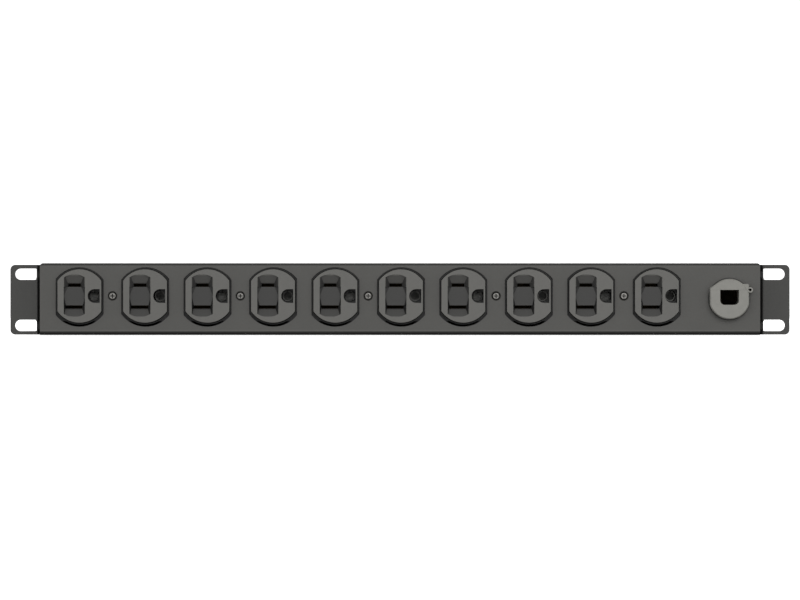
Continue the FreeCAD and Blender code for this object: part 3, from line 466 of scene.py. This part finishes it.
def outlet_nylon(name):
    """Moulded grey nylon, smooth on the raised face and darker and rougher down in the well,
    with painted shade and light down in the well.
    """
    material, tree, shader = start_material(name)
    point = millimetres(tree)
    depth = axis_value(tree, point, "Y")
    in_well = rise(tree, depth, shifted(face_front_mm, WELL_DEPTHS))
    mottle = patches(tree, point, *FACE_MOTTLE_NOISE)
    raised = mottled(tree, mottle, FACE_COLOUR, FACE_MOTTLE)
    by_depth = blend_colours(tree, in_well, raised, WELL_COLOUR)
    lit = dim(tree, by_depth, face_painted_shading(tree, point))
    colour = blend_colours(tree, rise(tree, in_well, RIM_OF_WELL), raised, lit)
    bump(tree, shader, noise(tree, point, *FACE_GRAIN_NOISE), *FACE_GRAIN_RELIEF)
    set_surface(tree, shader, colour, spread(tree, in_well, (0.0, 1.0), FACE_ROUGHNESS))
    return material


def plain_moulding(name, colour, roughness, relief=MOULDING_GRAIN_RELIEF):
    """A moulded plastic with a fine grain and a slight mottle."""
    material, tree, shader = start_material(name)
    point = millimetres(tree)
    mottle = patches(tree, point, *MOULDING_MOTTLE_NOISE)
    plastic = mottled(tree, mottle, colour, MOULDING_MOTTLE)
    grain = noise(tree, point, *MOULDING_GRAIN_NOISE)
    bump(tree, shader, grain, *relief)
    rough = spread(tree, grain, NOISE_RANGE, shifted(roughness, MOULDING_ROUGHNESS_CHANGE))
    set_surface(tree, shader, plastic, rough)
    return material


def contact_painted_shade(tree, point):
    """Painted shade down inside the contacts; the terminals behind the base are bright again."""
    depth = axis_value(tree, point, "Y")
    contact_ends, contact_shades = CONTACT_SHADES
    down = spread(tree, depth, shifted(panel_mm, contact_ends), contact_shades)
    return larger(tree, down, rise(tree, depth, shifted(panel_mm, BEHIND_BASE)))


def tongue_painted_light(tree, point):
    """Painted shade in the ground tubes; painted light on the tongues in front of them, brighter
    at the top.
    """
    depth = axis_value(tree, point, "Y")
    height = axis_value(tree, point, "Z")
    tongue_ends, tongue_shades = TONGUE_SHADES
    painted_tongue_light = spread(tree, height, shifted(outlet_middle_mm, tongue_ends), tongue_shades)
    tongues = product(tree, fall(tree, depth, shifted(panel_mm, TONGUE_END)), painted_tongue_light)
    tubes = spread(tree, depth, shifted(panel_mm, TONGUE_END), (0.0, GROUND_TUBE_SHADE))
    return larger(tree, tongues, tubes)


def screw_painted_shade(tree, point):
    """Painted shade in the cross recesses of the centre screws."""
    depth = axis_value(tree, point, "Y")
    recess_ends, recess_shades = SCREW_RECESS
    return spread(tree, depth, shifted(panel_mm, recess_ends), recess_shades)


def plated_metal(name, colour, roughness, stretch=UNSTRETCHED, painted_light_and_shade=None):
    """Plated or rolled metal with fine scratches, stretched along one direction if asked, with
    painted shade and light if given.
    """
    material, tree, shader = start_material(name)
    point = millimetres(tree)
    squeeze = tree.nodes.new("ShaderNodeVectorMath")
    squeeze.operation = "MULTIPLY"
    squeeze.inputs[1].default_value = stretch
    tree.links.new(point, squeeze.inputs[0])
    scratch = noise(tree, squeeze.outputs["Vector"], *METAL_SCRATCH_NOISE)
    metal = mottled(tree, patches(tree, point, *METAL_CLOUD_NOISE), colour, METAL_CLOUDS)
    if painted_light_and_shade:
        metal = dim(tree, metal, painted_light_and_shade(tree, point))
    bump(tree, shader, scratch, *METAL_SCRATCH_RELIEF)
    rough = spread(tree, scratch, NOISE_RANGE, shifted(roughness, METAL_ROUGHNESS_CHANGE))
    set_surface(tree, shader, metal, rough)
    shader.inputs["Metallic"].default_value = 1.0
    return material


# ------------------------------------------------------------------ dress the CAD nodes

def dress(node, material):
    """Gives a CAD node one material all over."""
    mesh = nodes_by_name[node].data
    mesh.materials.clear()
    mesh.materials.append(material)


def soften(node, width_mm):
    """Rounds the sharp edges of a CAD node a little, so that they catch the light."""
    modifier = nodes_by_name[node].modifiers.new("soft_edges", "BEVEL")
    modifier.width = width_mm * MM
    modifier.segments = 2
    modifier.limit_method = "ANGLE"
    modifier.angle_limit = math.radians(SHARP_EDGE_DEGREES)
    modifier.use_clamp_overlap = True


housing_coat = powder_coat("housing_powder_coat", HOUSING_COLOUR, housing_painted_shade)
ground_steel = plated_metal(
    "ground_contact_steel", CONTACT_STEEL, 0.5, DRAWN_ALONG_X, tongue_painted_light
)
centre_nickel = plated_metal(
    "centre_screw_nickel", CENTRE_SCREW_COLOUR, 0.36, UNSTRETCHED, screw_painted_shade
)

MATERIAL_OF_SLOT = {
    "housing_paint": housing_coat,
    "cover_paint": housing_coat,
    "ear_paint": powder_coat("ear_powder_coat", EAR_COLOUR_IN_PAINTED_SHADE, ear_painted_shade),
    "face_nylon": outlet_nylon("outlet_face_nylon"),
    "bushing_nylon": plain_moulding("bushing_nylon", BUSHING_COLOUR, 0.5),
    "base_plastic": plain_moulding("receptacle_base_plastic", BLACK_PLASTIC, 0.45),
    "black_wire": plain_moulding("black_wire_insulation", BLACK_PLASTIC, 0.35),
    "white_wire": plain_moulding("white_wire_insulation", WHITE_PLASTIC, 0.35),
    "green_wire": plain_moulding("green_wire_insulation", GREEN_PLASTIC, 0.35),
    "cap_plastic": plain_moulding("wire_cap_plastic", CAP_COLOUR, 0.4),
    "liner_paper": plain_moulding(
        "insulating_liner_paper", LINER_COLOUR, 0.8, LINER_GRAIN_RELIEF
    ),
    "brass": plated_metal("rolled_brass", BRASS_COLOUR, 0.5, DRAWN_ALONG_X, contact_painted_shade),
    "zinc_steel": plated_metal("zinc_plated_steel", ZINC_COLOUR, 0.38, DRAWN_ALONG_X),
    "screw_steel": plated_metal("nickel_plated_screw", NICKEL_COLOUR, 0.36),
    "green_steel": plated_metal("green_dyed_screw", GREEN_DYE, 0.4),
    "tinned_copper": plated_metal("tin_plated_copper", TIN_COLOUR, 0.4),
}

for row in frame["record"]["subparts"]:
    dress(row["node"], MATERIAL_OF_SLOT[row["material_slot"]])
for number in RECEPTACLES:
    dress("receptacle_%d_ground_contacts" % number, ground_steel)
    soften("receptacle_%d_face" % number, FACE_EDGE)
dress("receptacle_centre_screws", centre_nickel)
soften("cord_bushing_body", BUSHING_EDGE)
soften("cord_bushing_clamp", BUSHING_EDGE)
soften("left_rack_ear", EAR_EDGE)
soften("right_rack_ear", EAR_EDGE)


# ------------------------------------------------------------------ stage, light and camera

def pale_floor(height):
    """A large pale floor under the strip, lit enough to look white."""
    mesh = bpy.data.meshes.new("floor")
    corners = [(-FLOOR_REACH, -FLOOR_REACH, height), (FLOOR_REACH, -FLOOR_REACH, height)]
    corners += [(FLOOR_REACH, FLOOR_REACH, height), (-FLOOR_REACH, FLOOR_REACH, height)]
    mesh.from_pydata(corners, [], [(0, 1, 2, 3)])
    floor = bpy.data.objects.new("floor", mesh)
    bpy.context.scene.collection.objects.link(floor)
    material, tree, shader = start_material("pale_floor")
    tint = patches(tree, millimetres(tree), *FLOOR_NOISE)
    tree.links.new(blend_colours(tree, tint, *FLOOR_GREYS), shader.inputs["Base Color"])
    shader.inputs["Roughness"].default_value = 1.0
    shader.inputs["Specular IOR Level"].default_value = 0.0
    shader.inputs["Emission Color"].default_value = (1.0, 1.0, 1.0, 1.0)
    shader.inputs["Emission Strength"].default_value = FLOOR_GLOW
    mesh.materials.append(material)
    floor.visible_diffuse = False
    floor.visible_glossy = False
    floor.visible_shadow = False


def studio_world():
    """Soft light, weaker from high above, below, the sides and behind the camera."""
    world = bpy.data.worlds.new("studio")
    bpy.context.scene.world = world
    world.use_nodes = True
    tree = world.node_tree
    tree.nodes.clear()
    output = tree.nodes.new("ShaderNodeOutputWorld")
    background = tree.nodes.new("ShaderNodeBackground")
    place = tree.nodes.new("ShaderNodeTexCoord")
    direction = place.outputs["Generated"]
    height = axis_value(tree, direction, "Z")
    forward = axis_value(tree, direction, "Y")
    above = spread(tree, height, *WORLD_UPWARDS)
    below = spread(tree, height, *WORLD_DOWNWARDS)
    across = spread(tree, size_of(tree, forward), *WORLD_SIDES)
    camera_side = spread(tree, forward, *WORLD_BEHIND_CAMERA)
    level = product(tree, product(tree, above, below), product(tree, across, camera_side))
    tree.links.new(level, background.inputs["Strength"])
    background.inputs["Color"].default_value = (1.0, 1.0, 1.0, 1.0)
    tree.links.new(background.outputs["Background"], output.inputs["Surface"])


def softbox(name, place, target, power):
    """A large soft light at a place, pointed at a target."""
    data = bpy.data.lights.new(name, "AREA")
    data.shape = "RECTANGLE"
    data.size, data.size_y = SOFTBOX_SIZE
    data.energy = power
    light = bpy.data.objects.new(name, data)
    light.location = place
    light.rotation_mode = "QUATERNION"
    light.rotation_quaternion = (target - Vector(place)).to_track_quat("-Z", "Y")
    bpy.context.scene.collection.objects.link(light)


def straight_camera(height):
    """A long lens, level at the given height, that looks straight at the front panel."""
    data = bpy.data.cameras.new("camera")
    data.sensor_width = SENSOR_MM
    data.lens = SENSOR_MM * CAMERA_DISTANCE / VIEW_WIDTH
    data.clip_end = CAMERA_REACH
    camera = bpy.data.objects.new("camera", data)
    ear_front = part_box("left_rack_ear")[0].y
    camera.location = (0.0, ear_front - CAMERA_DISTANCE, height)
    camera.rotation_euler = (math.radians(90), 0.0, 0.0)
    bpy.context.scene.collection.objects.link(camera)
    bpy.context.scene.camera = camera


low, high = cad_bounds
middle = (low + high) / 2
pale_floor(low.z - FLOOR_GAP)
studio_world()
softbox("front_softbox", FRONT_SOFTBOX_PLACE, middle, FRONT_SOFTBOX_POWER)
softbox("rear_softbox", REAR_SOFTBOX_PLACE, middle, REAR_SOFTBOX_POWER)
straight_camera((low.z + high.z) / 2 - CAMERA_DROP)
bpy.context.scene.view_settings.view_transform = "Standard"
